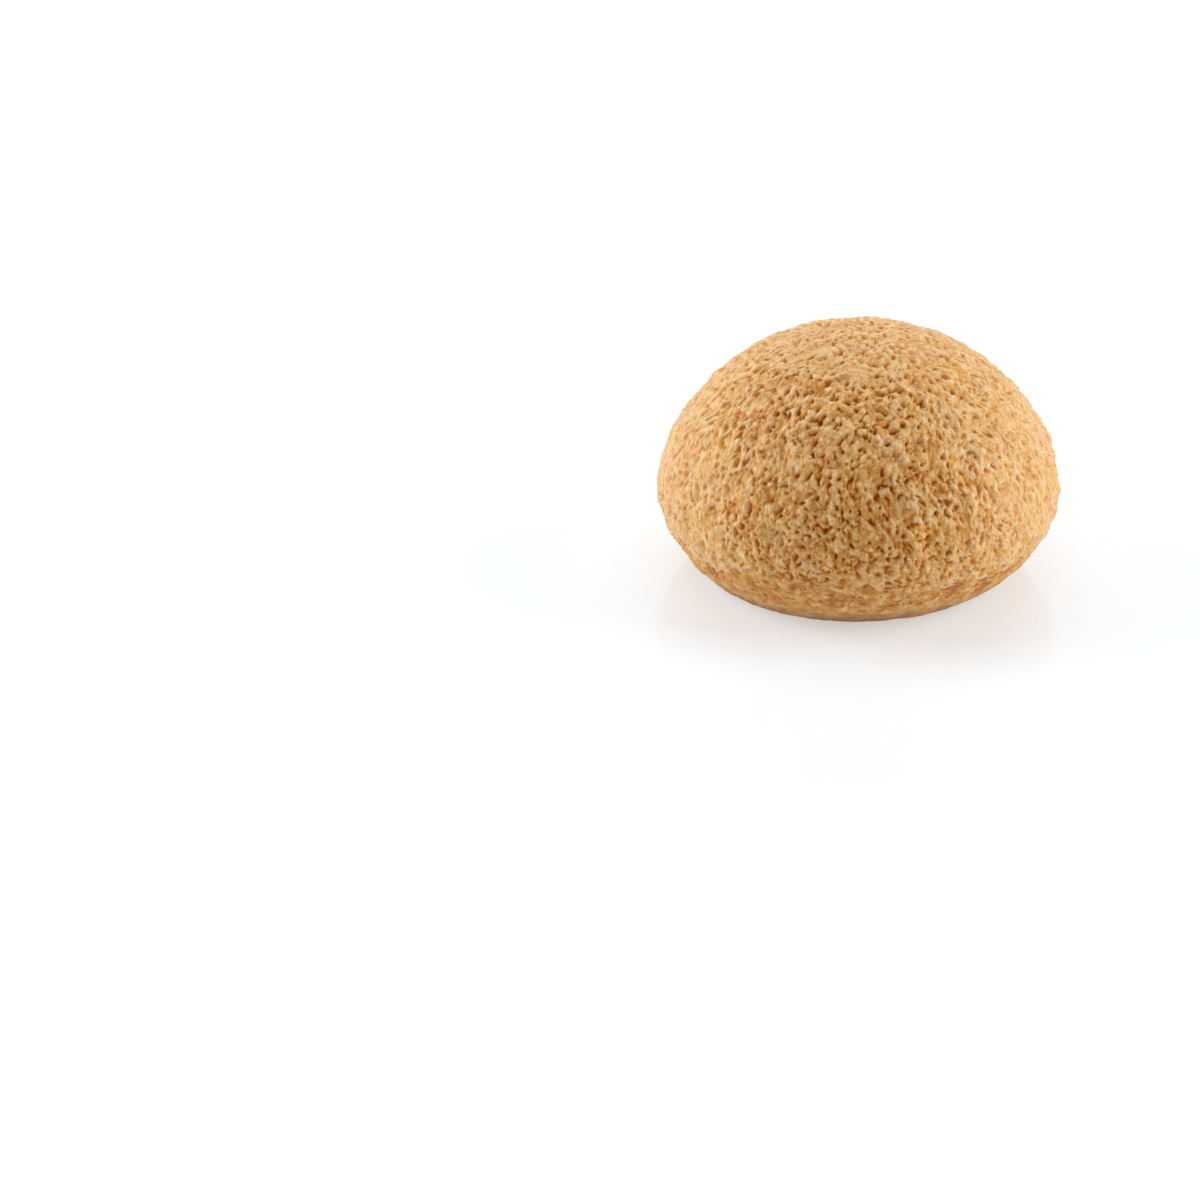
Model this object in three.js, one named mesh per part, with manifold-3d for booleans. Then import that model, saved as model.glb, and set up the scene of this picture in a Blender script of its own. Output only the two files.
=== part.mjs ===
// A choux bun under a craquelin crust, baked in a round mould: a pointed dome that is widest
// low down, then tucks in to a flat foot. The crust of butter, sugar and flour has cracked into
// crags and pits over the dome and flanks, and stops at a wavy edge above the plain choux foot.
// Millimetres, +Z up. The origin is the middle of the foot, on the surface that the bun stands on.

import * as THREE from "three";
import { mergeVertices } from "three/addons/utils/BufferGeometryUtils.js";
import Module from "manifold-3d";

// Driving dimensions of the smooth form. The crags stand up to 0.4 mm out of it.
const WIDTH = 63.8; // at the waist, where the bun is widest
const HEIGHT = 39.2;
const WAIST_HEIGHT = 13.1;
const FOOT_WIDTH = 46.8;

// The bun leans a little: the foot sits to the left of the waist, and the crown to its right.
const FOOT_SHIFT = -1;
const CROWN_SHIFT = 0.25;

// The dome's section is a superellipse: 2 is an ellipse, and less draws the crown to a point.
const DOME_POWER = 1.75;

// The crust's lower edge, which is wavy, and the step down from it to the choux.
const CRUST_EDGE_HEIGHT = 8.6;
const CRUST_EDGE_WAVE = 0.5;
const CRUST_STEP = 0.35;
const CRUST_STEP_WIDTH = 1.4;

// Unevenness of the whole bun, crags of the crust, and the choux's shallow blisters:
// each has a wavelength and a height.
const SWELL = { length: 34, height: 0.12 };
const CRAGS = { length: 6.5, height: 0.08 };
const CRUMBS = { length: 3.4, height: 0.09 };
const BLISTERS = { length: 5, height: 0.09 };

// Pits that opened in the crust as it cracked. The widest are the shallowest.
const PIT_COUNT = 520; // counted over a whole sphere, part of which is below the crust
const PIT_RADIUS = { least: 1.2, most: 2.1 };
const PIT_DEPTH = { least: 0.2, most: 0.45 };

// Marks that tell this bun from another: the azimuth and latitude of each in degrees, its radius,
// and how far its middle stands out. Where that is below zero it is a hollow.
const MARKS = [
  { azimuth: 96, latitude: 76, radius: 5, rise: 0.4 }, // the crown's little peak
  { azimuth: -31, latitude: 42, radius: 2.2, rise: -0.6 },
  { azimuth: -112, latitude: 11, radius: 2.2, rise: -0.5 },
  { azimuth: -122, latitude: 27, radius: 4, rise: 0.3 },
];

const MESH_DETAIL = 25; // each of the icosahedron's edges is split into one more than this

const RADIUS = WIDTH / 2;
const DOME_HEIGHT = HEIGHT - WAIST_HEIGHT;
const MIDDLE = new THREE.Vector3(0, 0, WAIST_HEIGHT);
// Below the waist the radius falls with the square of the depth. This is the depth where it
// would reach the axis, and the foot cuts it off before that.
const POINT_DEPTH = WAIST_HEIGHT / Math.sqrt(1 - FOOT_WIDTH / WIDTH);
const GOLDEN_ANGLE = Math.PI * (3 - Math.sqrt(5));
const WAVES = 16;

// The point of the smooth bun that a unit direction stands for. Its z is the sine of the latitude.
function formAt(direction) {
  const rise = direction.z;
  const level = Math.sqrt(Math.max(0, 1 - rise * rise));
  const azimuth = Math.atan2(direction.y, direction.x);
  if (rise >= 0) {
    const radius = RADIUS * level;
    const climb = rise ** (2 / DOME_POWER);
    const x = radius * Math.cos(azimuth) + CROWN_SHIFT * climb;
    return new THREE.Vector3(x, radius * Math.sin(azimuth), WAIST_HEIGHT + DOME_HEIGHT * climb);
  }
  const radius = RADIUS * level * level;
  const fall = -POINT_DEPTH * rise;
  const x = radius * Math.cos(azimuth) + FOOT_SHIFT * (fall / WAIST_HEIGHT) ** 2;
  return new THREE.Vector3(x, radius * Math.sin(azimuth), WAIST_HEIGHT - fall);
}

// The unit direction at an azimuth and a latitude in degrees.
function directionAt(azimuth, latitude) {
  const polar = THREE.MathUtils.degToRad(90 - latitude);
  const sideways = THREE.MathUtils.degToRad(azimuth);
  const level = Math.sin(polar);
  return new THREE.Vector3(level * Math.cos(sideways), level * Math.sin(sideways), Math.cos(polar));
}

// Direction number i of count, evenly spread over the sphere on a golden spiral from the top.
function spiralDirection(i, count) {
  const z = 1 - (2 * i + 1) / count;
  const level = Math.sqrt(1 - z * z);
  const azimuth = i * GOLDEN_ANGLE;
  return new THREE.Vector3(level * Math.cos(azimuth), level * Math.sin(azimuth), z);
}

// A repeatable draw from 0 to 1 for item i.
function draw(i, salt) {
  const x = Math.sin(i * 12.9898 + salt * 78.233) * 43758.5453;
  return x - Math.floor(x);
}

// Smooth unevenness with that wavelength: flat waves in many directions, added up. It is
// mostly between -1.5 and 1.5.
function ripple(point, length, salt) {
  let sum = 0;
  for (let k = 0; k < WAVES; k++) {
    const across = point.dot(spiralDirection(k, WAVES));
    const own = length * (0.75 + 0.5 * draw(k, salt));
    sum += Math.cos((2 * Math.PI * across) / own + 2 * Math.PI * draw(k, salt + 1));
  }
  return sum * Math.sqrt(2 / WAVES);
}

// Height of the crust's lower edge at an azimuth.
function crustEdge(azimuth) {
  const wave =
    Math.sin(3 * azimuth + 0.6) + 0.7 * Math.sin(7 * azimuth + 2.1) + 0.5 * Math.sin(13 * azimuth + 4.4);
  return CRUST_EDGE_HEIGHT + CRUST_EDGE_WAVE * wave;
}

// The pits' middles, radii and depths, on a golden spiral with each moved a little off it.
function makePits() {
  const pits = [];
  const spacing = Math.sqrt((4 * Math.PI) / PIT_COUNT);
  for (let i = 0; i < PIT_COUNT; i++) {
    const off = new THREE.Vector3(draw(i, 1) - 0.5, draw(i, 2) - 0.5, draw(i, 3) - 0.5);
    const direction = spiralDirection(i, PIT_COUNT).addScaledVector(off, spacing).normalize();
    const size = draw(i, 4);
    pits.push({
      middle: formAt(direction),
      radius: THREE.MathUtils.lerp(PIT_RADIUS.least, PIT_RADIUS.most, size),
      depth: THREE.MathUtils.lerp(PIT_DEPTH.most, PIT_DEPTH.least, size) * draw(i, 5),
    });
  }
  return pits;
}

// A round rise of height 1 at its middle, with a soft rim: its height at a point.
function dome(point, middle, radius) {
  const share = point.distanceToSquared(middle) / (radius * radius);
  return share < 1 ? (1 - share) ** 2 : 0;
}

// How deep the pits are at a point: the deepest counts.
function pitDepth(point, pits) {
  return Math.max(...pits.map((pit) => pit.depth * dome(point, pit.middle, pit.radius)));
}

// How far the marks stand out at a point.
function markHeight(point) {
  let sum = 0;
  for (const mark of MARKS) {
    const middle = formAt(directionAt(mark.azimuth, mark.latitude));
    sum += mark.rise * dome(point, middle, mark.radius);
  }
  return sum;
}

// How far the real surface stands out from the smooth bun at a point of it.
function relief(point, pits) {
  const azimuth = Math.atan2(point.y, point.x);
  const aboveEdge = point.z - crustEdge(azimuth);
  const crust = THREE.MathUtils.smoothstep(aboveEdge, -CRUST_STEP_WIDTH / 2, CRUST_STEP_WIDTH / 2);
  const onCrust =
    CRAGS.height * ripple(point, CRAGS.length, 20) +
    CRUMBS.height * ripple(point, CRUMBS.length, 30) +
    markHeight(point) -
    pitDepth(point, pits);
  const onChoux = BLISTERS.height * ripple(point, BLISTERS.length, 40) - CRUST_STEP;
  return SWELL.height * ripple(point, SWELL.length, 725) + THREE.MathUtils.lerp(onChoux, onCrust, crust);
}

// A closed geometry as a manifold-3d solid.
function solidOf(wasm, geometry) {
  const bare = geometry.clone();
  bare.deleteAttribute("normal");
  bare.deleteAttribute("uv");
  const merged = mergeVertices(bare, 1e-4);
  return new wasm.Manifold(
    new wasm.Mesh({
      numProp: 3,
      vertProperties: new Float32Array(merged.attributes.position.array),
      triVerts: new Uint32Array(merged.index.array),
    }),
  );
}

// A manifold-3d solid as a three.js geometry.
function geometryOf(solid) {
  const mesh = solid.getMesh();
  const geometry = new THREE.BufferGeometry();
  geometry.setAttribute("position", new THREE.BufferAttribute(mesh.vertProperties, 3));
  geometry.setIndex(new THREE.BufferAttribute(mesh.triVerts, 1));
  geometry.computeVertexNormals();
  return geometry;
}

// The whole lump: a sphere of even triangles drawn to the bun's form, with its relief.
function makeLump() {
  const geometry = new THREE.IcosahedronGeometry(1, MESH_DETAIL);
  const pits = makePits();
  const position = geometry.getAttribute("position");
  const vertex = new THREE.Vector3();
  for (let i = 0; i < position.count; i++) {
    const smooth = formAt(vertex.fromBufferAttribute(position, i).normalize());
    const outward = smooth.clone().sub(MIDDLE).normalize();
    smooth.addScaledVector(outward, relief(smooth, pits));
    position.setXYZ(i, smooth.x, smooth.y, smooth.z);
  }
  return geometry;
}

// Everything under the surface that the bun stands on.
function makeTray() {
  const depth = POINT_DEPTH;
  return new THREE.BoxGeometry(2 * WIDTH, 2 * WIDTH, depth).translate(0, 0, -depth / 2);
}

// Puts the middle of the bun's own width and length over the origin.
function centre(geometry) {
  geometry.computeBoundingBox();
  const middle = geometry.boundingBox.getCenter(new THREE.Vector3());
  return geometry.translate(-middle.x, -middle.y, 0);
}

const wasm = await Module();
wasm.setup();

const bunGeometry = centre(geometryOf(solidOf(wasm, makeLump()).subtract(solidOf(wasm, makeTray()))));
const bunMaterial = new THREE.MeshStandardMaterial({ color: 0xcf9d62, roughness: 0.85, metalness: 0 });
const bun = new THREE.Mesh(bunGeometry, bunMaterial);
bun.name = "choux_bun";

const part = new THREE.Group();
part.add(bun);

export default part;
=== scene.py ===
# %% [markdown]
# # A choux bun under a craquelin crust
#
# A choux bun is two doughs baked together. Soft choux paste fills a round mould, and a thin disc
# of butter, sugar and flour, the craquelin, lies on top. In the oven the choux swells into a dome
# with a flat foot, and the craquelin melts over it and cracks into a golden, crumbly crust.
#
# This notebook dresses the plain solid of such a bun. The choux and the crust are made one after
# the other, as surfaces worked out with numpy, and then come the loose crumbs, the finishes, the
# light and the camera. It starts by loading the solid, which fixes where everything goes.

# %% Load the solid
import math

import bpy
import numpy as np
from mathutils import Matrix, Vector


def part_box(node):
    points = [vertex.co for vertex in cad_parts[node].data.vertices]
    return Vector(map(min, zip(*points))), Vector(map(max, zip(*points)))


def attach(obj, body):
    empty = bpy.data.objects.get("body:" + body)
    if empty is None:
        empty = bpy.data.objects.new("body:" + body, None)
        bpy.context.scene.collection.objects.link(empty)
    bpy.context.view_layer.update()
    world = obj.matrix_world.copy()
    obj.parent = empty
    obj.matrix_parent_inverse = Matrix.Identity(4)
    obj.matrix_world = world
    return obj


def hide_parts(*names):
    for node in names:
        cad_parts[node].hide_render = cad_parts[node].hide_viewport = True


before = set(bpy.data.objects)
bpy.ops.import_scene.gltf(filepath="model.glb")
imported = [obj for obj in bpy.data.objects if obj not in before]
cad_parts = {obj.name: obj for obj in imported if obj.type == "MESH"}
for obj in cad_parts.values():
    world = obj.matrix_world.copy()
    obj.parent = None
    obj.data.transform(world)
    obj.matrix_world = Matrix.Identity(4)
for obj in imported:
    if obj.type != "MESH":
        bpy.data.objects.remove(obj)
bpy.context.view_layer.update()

BUN = "choux_bun"

# %% [markdown]
# ## The smooth form
#
# Under its crags the bun is nearly a turned shape. Its dome is a superellipse that comes to a
# faint point, it is widest low down where the mould held it, and below that it tucks in to its
# foot. One could turn a drawn outline, but a formula gives a point for any latitude, so that fine
# grids can be laid over it. The sizes come from the solid's box, less what its crags stand out.
# All shapes are worked out in millimetres, and become metres only in the mesh.

# %% Sizes of the smooth form, in millimetres
MM = 0.001
CRAG_STAND = 0.19  # how far the crags stand out at the waist
CROWN_STAND = 0.12  # and at the crown

low, high = (np.array(corner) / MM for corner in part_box(BUN))
RADIUS = (high[0] - low[0]) / 2 - CRAG_STAND
HEIGHT = high[2] - CROWN_STAND
WAIST_HEIGHT = HEIGHT / 3
FOOT_RADIUS = RADIUS * 0.733
FOOT_SHIFT = -1.0
CROWN_SHIFT = 0.25
DOME_POWER = 1.75

DOME_HEIGHT = HEIGHT - WAIST_HEIGHT
POINT_DEPTH = WAIST_HEIGHT / math.sqrt(1 - FOOT_RADIUS / RADIUS)
FOOT_LATITUDE = -math.asin(WAIST_HEIGHT / POINT_DEPTH)
MIDDLE = np.array([0, 0, WAIST_HEIGHT])
print(f"Smooth bun: {2 * RADIUS:.1f} mm wide, {HEIGHT:.1f} high, foot {2 * FOOT_RADIUS:.1f}")


# %% The smooth form as a function
def smooth_form(latitude, azimuth):
    """Points of the smooth bun, from latitude and azimuth in radians.

    Above the waist the radius is the widest one times the cosine of the latitude, and the height
    above the waist is the dome's height times its sine to the power 2 / DOME_POWER. Below it,
    the radius goes with the cosine squared and the fall is POINT_DEPTH times the sine. The
    centre line leans: it moves with the climb above the waist and the square of the fall.
    """
    rise = np.sin(latitude)
    climb = np.clip(rise, 0, 1) ** (2 / DOME_POWER)
    fall = POINT_DEPTH * np.clip(-rise, 0, 1)
    radius = RADIUS * np.cos(latitude) ** np.where(rise < 0, 2, 1)
    shift = CROWN_SHIFT * climb + FOOT_SHIFT * (fall / WAIST_HEIGHT) ** 2
    height = WAIST_HEIGHT + DOME_HEIGHT * climb - fall
    return np.stack([radius * np.cos(azimuth) + shift, radius * np.sin(azimuth), height], -1)


def outward(points):
    """Unit directions from the middle of the waist to the points."""
    away = points - MIDDLE
    return away / np.linalg.norm(away, axis=-1, keepdims=True)


# %% [markdown]
# A grid looks even when its rows are the same distance apart along the surface, and equal steps
# of latitude are not. So the length of the outline from the crown is measured once, finely, and
# read backwards: a distance from the crown gives its latitude.

# %% Distances along the outline
outline_latitudes = np.linspace(math.pi / 2, FOOT_LATITUDE, 4001)
outline = smooth_form(outline_latitudes, 0.0 * outline_latitudes)
steps = np.linalg.norm(np.diff(outline, axis=0), axis=1)
outline_lengths = np.concatenate([[0], np.cumsum(steps)])
print(f"From crown to foot it is {outline_lengths[-1]:.1f} mm along the surface")


def latitude_at(distance):
    """The latitude that lies a distance in millimetres from the crown along the surface."""
    return np.interp(distance, outline_lengths, outline_latitudes)


def distance_at(latitude):
    """The other way round. Latitudes fall as distances grow, so both lists are turned."""
    return np.interp(latitude, outline_latitudes[::-1], outline_lengths[::-1])


# %% [markdown]
# ## Chance, made repeatable
#
# A crust is all chance, but the same bun has to come out every time. So each random number is a
# hash: plain arithmetic on a whole number that stirs it until the result looks random. A salt is
# a second whole number that goes in, so that the same place gives other numbers for another use.
#
# Three kinds of unevenness are built on that. Ripples are flat waves in many directions added
# up, and make the swells, the crags and the knots of the grain. Soft noise draws a number at each
# corner of a lattice and blends them over each cell, for patches and for moving points about.
# Cell noise scatters one point in each cell and measures how far the nearest ones are, for small
# lumps and the seams between them.


# %% Ripples
def draw(i, salt):
    """A number from 0 to 1 for each item i: the fraction of a large multiple of a sine."""
    x = np.sin(i * 12.9898 + salt * 78.233) * 43758.5453
    return x - np.floor(x)


def spiral_directions(count):
    """Unit directions evenly over a sphere: equal steps of height, turned by the golden angle."""
    i = np.arange(count)
    z = 1 - (2 * i + 1) / count
    level = np.sqrt(1 - z * z)
    azimuth = i * math.pi * (3 - math.sqrt(5))
    return np.stack([level * np.cos(azimuth), level * np.sin(azimuth), z], -1)


RIPPLE_WAVES = 16


def ripple(points, length, salt):
    """Sum of cosines of the distance along RIPPLE_WAVES directions, of about that wavelength."""
    total = np.zeros(points.shape[:-1])
    for k, direction in enumerate(spiral_directions(RIPPLE_WAVES)):
        own = length * (0.75 + 0.5 * draw(k, salt))
        total += np.cos(2 * math.pi * (points @ direction / own + draw(k, salt + 1)))
    return total * math.sqrt(2 / RIPPLE_WAVES)


# %% Soft noise and cell noise
def stirred(cells, salt):
    """A number from 0 to 1 for each lattice cell: primes times its indices, mixed bit by bit."""
    x, y, z = (cells[..., k].astype(np.int64) for k in range(3))
    h = (x * 73856093) ^ (y * 19349663) ^ (z * 83492791) ^ (salt * 2654435761)
    h &= 0xFFFFFFFF
    for shift, factor in ((16, 0x45D9F3B), (15, 0x2C1B3C6D)):
        h = ((h ^ (h >> shift)) * factor) & 0xFFFFFFFF
    return (h ^ (h >> 16)) / 0xFFFFFFFF


def soft_noise(points, size, salt):
    """From -1 to 1: random numbers at the corners of cells of that size, blended smoothly."""
    scaled = points / size
    base = np.floor(scaled)
    part = scaled - base
    part = part * part * (3 - 2 * part)
    total = np.zeros(points.shape[:-1])
    for corner in np.ndindex(2, 2, 2):
        weight = np.prod(np.where(corner, part, 1 - part), axis=-1)
        total += weight * stirred(base + corner, salt)
    return 2 * total - 1


def cell_noise(points, size, salt):
    """(nearest, second, luck): distances to the two nearest scattered points, in cell sizes, and
    a number from 0 to 1 that belongs to the nearest one. Each cell holds one point at a random
    place, and the cell and its 26 neighbours are searched.
    """
    scaled = points / size
    base = np.floor(scaled)
    nearest = np.full(points.shape[:-1], 9.0)
    second = nearest.copy()
    luck = np.zeros_like(nearest)
    for step in np.ndindex(3, 3, 3):
        cell = base + step - 1
        place = np.stack([stirred(cell, salt + k) for k in range(3)], -1)
        away = np.linalg.norm(cell + place - scaled, axis=-1)
        closer = away < nearest
        second = np.where(closer, nearest, np.minimum(second, away))
        nearest = np.where(closer, away, nearest)
        luck = np.where(closer, stirred(cell, salt + 3), luck)
    return nearest, second, luck


# %% Two helpers for values
def smoothstep(x, start, end):
    """0 before start, 1 after end, and 3t² - 2t³ between them."""
    t = np.clip((x - start) / (end - start), 0, 1)
    return t * t * (3 - 2 * t)


def between(ends, share):
    """The value at a share of the way from the first end to the second."""
    return ends[0] + (ends[1] - ends[0]) * share


# %% [markdown]
# ## The bun's crags
#
# The solid already has the large unevenness of the real bun: swells over its whole width, crags
# a few millimetres wide, and broad hollows. The same formulas are repeated here, so the finished
# surface keeps the solid's form, and only what is too fine for the solid is new.


# %% The crust's lower edge and the swells, as on the solid
EDGE_HEIGHT = 8.6
EDGE_WAVE = 0.5
SWELL = (34, 0.12)  # a ripple's wavelength and its height, as are the next two
CRAGS = (6.5, 0.08)
SMALL_CRAGS = (3.4, 0.09)


def crust_edge(azimuth):
    """Height of the crust's lower edge: a mean height and three waves round the bun."""
    wave = np.sin(3 * azimuth + 0.6) + 0.7 * np.sin(7 * azimuth + 2.1) + 0.5 * np.sin(13 * azimuth + 4.4)
    return EDGE_HEIGHT + EDGE_WAVE * wave


def rippled(points, size, salt):
    """A ripple of a size, which is a pair of its wavelength and its height."""
    length, height = size
    return height * ripple(points, length, salt)


def swell(points):
    """The unevenness of the whole bun, under crust and choux alike."""
    return rippled(points, SWELL, 725)


# %% Hollows, marks and crags, as on the solid
HOLLOW_COUNT = 520  # counted over a whole sphere
HOLLOW_RADIUS = (1.2, 2.1)
HOLLOW_DEPTH = (0.45, 0.2)  # the widest are the shallowest


def hollows(points):
    """Depth of the broad hollows: for each, its depth times (1 - (distance / radius)²)², and the
    deepest counts. They lie on a golden spiral, each moved a little off it.
    """
    i = np.arange(HOLLOW_COUNT)
    off = np.stack([draw(i, 1) - 0.5, draw(i, 2) - 0.5, draw(i, 3) - 0.5], -1)
    direction = spiral_directions(HOLLOW_COUNT) + off * math.sqrt(4 * math.pi / HOLLOW_COUNT)
    direction /= np.linalg.norm(direction, axis=-1, keepdims=True)
    middles = smooth_form(np.arcsin(direction[:, 2]), np.arctan2(direction[:, 1], direction[:, 0]))
    radii = between(HOLLOW_RADIUS, draw(i, 4))
    depths = between(HOLLOW_DEPTH, draw(i, 4)) * draw(i, 5)
    deepest = np.zeros(points.shape[:-1])
    for middle, radius, depth in zip(middles, radii, depths):
        share = ((points - middle) ** 2).sum(-1) / radius**2
        deepest = np.maximum(deepest, depth * np.clip(1 - share, 0, 1) ** 2)
    return deepest


MARKS = ((96, 76, 5.0, 0.4), (-31, 42, 2.2, -0.6), (-112, 11, 2.2, -0.5), (-122, 27, 4.0, 0.3))


def marks(points):
    """Height of the marks that tell this bun from another. Each is (azimuth, latitude, radius,
    rise): a round rise, or a hollow where the rise is below zero.
    """
    total = np.zeros(points.shape[:-1])
    for azimuth, latitude, radius, rise in MARKS:
        middle = smooth_form(math.radians(latitude), math.radians(azimuth))
        share = ((points - middle) ** 2).sum(-1) / radius**2
        total += rise * np.clip(1 - share, 0, 1) ** 2
    return total


def crags(points):
    """The crust's own large relief: crags, smaller crags, marks and hollows."""
    waves = rippled(points, CRAGS, 20) + rippled(points, SMALL_CRAGS, 30)
    return waves + marks(points) - hollows(points)


# %% [markdown]
# ## The crust's grain
#
# Seen close, craquelin is like pumice. Sugar and butter boiled out and left pits about a
# millimetre apart, the dough between them drew up into rounded crumbs, and some pits joined into
# short cracks. A bump texture would show no edge against the light, so this is real relief.
#
# Knots are ripples on points that were moved about first. Crumbs stand where they are high, and
# ragged pits wind along where they are low. Other pits are deeper and are short round-ended slots,
# one in each cell of a lattice. Cracks are the seams of cell noise, open only where a soft noise
# lets them. Because the points are moved about, nothing is a clean circle or a straight line.


# %% Moving points about
NEAR = (1.0, 0.35)  # the size of a wander and its reach, which keeps each point near its place
FAR = (4.0, 1.0)


def wander(points, size, reach, salt):
    """The points, each moved by up to reach millimetres by soft noise of that size."""
    moves = [soft_noise(points, size, salt + k) for k in range(3)]
    return points + reach * np.stack(moves, -1)


# %% Knots and slots
KNOT_LENGTH = 1.45
SMALL_KNOT = (0.8, 0.5)  # the wavelength of the smaller ripple and its share
SLOT_LENGTH = 0.5  # half a slot's greatest length, in cell sizes
SLOT_RADIUS = (0.08, 0.3)


def knots(points):
    """Ripples of two lengths on points that are moved about: crumbs where they are high, and
    winding pits where they are low, all about as far apart as the longer ones are long.
    """
    loose = wander(wander(points, *FAR, 111), 1.0, 0.3, 114)
    return ripple(loose, KNOT_LENGTH, 120) + rippled(loose, SMALL_KNOT, 122)


def slots(points, size, salt):
    """Closeness to scattered short slots, from 0 at their rims to 1 on their middle lines.

    Each cell of that size holds one slot: a line of random place, direction and length, and round
    it a random radius. The distance to it is that to its line, with what lies along it left out.
    """
    scaled = points / size
    base = np.floor(scaled)
    closest = np.zeros(points.shape[:-1])
    for step in np.ndindex(3, 3, 3):
        cell = base + step - 1
        chance = np.stack([stirred(cell, salt + k) for k in range(8)], -1)
        away = scaled - cell - chance[..., :3]
        line = chance[..., 3:6] - 0.5
        line /= np.linalg.norm(line, axis=-1, keepdims=True) + 1e-6
        along = (away * line).sum(-1)
        reach = SLOT_LENGTH * chance[..., 6]
        off = away - line * np.clip(along, -reach, reach)[..., None]
        closest = np.maximum(closest, 1 - np.linalg.norm(off, axis=-1) / between(SLOT_RADIUS, chance[..., 7]))
    return closest


# %% Pits and cracks
PIT_DEPTH = 0.53  # of the winding pits
PIT_CLUSTERS = (2.8, 0.8)  # how wide the clusters of pits are, and how strongly they gather
SLOT_DEPTH = 0.78
SLOT_SPACING = 1.7
SEAM_DEPTH = 0.35  # of the long cracks
SEAM_SPACING = 2.8
FINE_DEPTH = 0.25  # of the fine ones
FINE_SPACING = 1.1


def pits(points):
    """Depth of the pits, in millimetres. Winding ones are where the knots are low, more of them
    where a soft noise gathers them. Slots go deeper, and the deeper of the two counts.
    """
    loose = wander(points, *NEAR, 110)
    width, strength = PIT_CLUSTERS
    gathered = strength * soft_noise(loose, width, 132)
    winding = smoothstep(gathered - knots(points), 0.4, 2.6)
    return np.maximum(PIT_DEPTH * winding, SLOT_DEPTH * slots(loose, SLOT_SPACING, 130))


def cracks(points):
    """Depth of the cracks, in millimetres. Both kinds are seams of cell noise, where the two
    nearest points are equally far away. The long ones are narrow and open only where a soft noise
    is high. The fine ones have sloping sides, and another noise makes them deeper or shallower.
    """
    nearest, second, _ = cell_noise(wander(points, 1.3, 0.7, 140), SEAM_SPACING, 150)
    seam = 1 - smoothstep(second - nearest, 0.02, 0.12)
    opened = smoothstep(soft_noise(points, 2.2, 160), 0.05, 0.5)
    nearest, second, _ = cell_noise(wander(points, *NEAR, 170), FINE_SPACING, 180)
    fine = np.clip(1 - (second - nearest) / 0.5, 0, 1) ** 1.5
    parted = 0.3 + 0.7 * smoothstep(soft_noise(points, 1.0, 162), -0.1, 0.4)
    return np.maximum(SEAM_DEPTH * seam * opened, FINE_DEPTH * fine * parted)


# %% Crumbs that belong to the crust
KNOT_HEIGHT = 0.06
LUMP_SIZE = 0.55
LUMP_HEIGHT = 0.2
DUST = (0.4, 0.05)  # the size of the finest unevenness and its height


def crumbs(points):
    """Height of the rounded crumbs: knots, small lumps that are domes on cell noise, and dust."""
    lump, _, _ = cell_noise(wander(points, *NEAR, 170), LUMP_SIZE, 190)
    width, height = DUST
    return KNOT_HEIGHT * knots(points) + LUMP_HEIGHT * (0.5 - lump) + height * soft_noise(points, width, 200)


# %% Where the grain is rough, drawn out and thin
PULL = 0.012  # how much more each millimetre over the waist drew the crust's grain out
FINENESS = 1.1  # how much finer the grain is than the sizes in its formulas
ROUGHNESS = (0.33, 0.62)  # of the flanks, and how much more at the front and back
ROUGH_PATCHES = (9.0, 0.14)  # the width of rougher patches, and how much rougher they are
CALM_HEIGHT = 33  # above this that extra roughness falls off, to half of it at the crown
BAND_DEPTH = 0.12  # the bare choux lies this far inside the smooth form


def ragged_edge(azimuth):
    """Height of the crust's lower edge with its small raggedness: soft noise round the waist."""
    around = RADIUS * np.stack([np.cos(azimuth), np.sin(azimuth), 0 * azimuth], -1)
    return crust_edge(azimuth) + 0.6 * soft_noise(around, 2.6, 210) + 0.3 * soft_noise(around, 0.9, 211)


def drawn_out(points):
    """The points as the grain sees them. The swelling choux drew the crust out downwards, more so
    towards the crown. So heights over the waist are shrunk by PULL times their square, and what
    is round there comes out tall. All is then spread by FINENESS, which makes the grain finer.
    """
    over = points[..., 2] - WAIST_HEIGHT
    heights = over - PULL * np.clip(over, 0, None) ** 2
    return FINENESS * np.concatenate([points[..., :2], heights[..., None]], -1)


def crust_relief(points):
    """(height, grain, hole), in millimetres: how far the crust stands out of the smooth form, how
    much of that is grain, and how deep in a pit or crack each point is.

    The grain is roughest over the front and back, by the square of one minus the square of the
    way across. It is smoother at the crown and in patches, and it fades at the crust's edge,
    where the crust thins out to the level of the choux.
    """
    azimuth = np.arctan2(points[..., 1], points[..., 0])
    above_edge = points[..., 2] - ragged_edge(azimuth)
    across = np.clip(points[..., 0] / RADIUS, -1, 1)
    rough = (1 - across**2) ** 2 * (1 - 0.5 * smoothstep(points[..., 2], CALM_HEIGHT, HEIGHT))
    least, more = ROUGHNESS
    width, strength = ROUGH_PATCHES
    rough = least + more * rough + strength * soft_noise(points, width, 220)
    rough *= 0.4 + 0.6 * smoothstep(above_edge, 0.0, 1.6)
    drawn = drawn_out(points)
    hole = np.maximum(pits(drawn), cracks(drawn)) * rough
    grain = crumbs(drawn) * rough - hole
    thin = BAND_DEPTH * (1 - smoothstep(above_edge, 0.0, 2.0))
    return swell(points) + crags(points) + grain - thin, grain, hole


# %% [markdown]
# ## Laying the crust
#
# Rings round a pole crowd together at the crown, where the light falls. So the crown is a square
# grid bent into a disc, and only its rim carries on as rings, down to the crust's edge. There
# the rings turn under in a rounded lip, and a coarse inner wall closes the crust from below, as
# a real crust has an underside that sticks to the choux.
#
# So fine a grain takes more faces than the 200,000 that one piece may have in a file for a
# printer, so the crown and the flanks are two shells. Each dips under the other just past the
# ring where they meet, and since both follow the same formulas there is no step and no gap.


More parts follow.
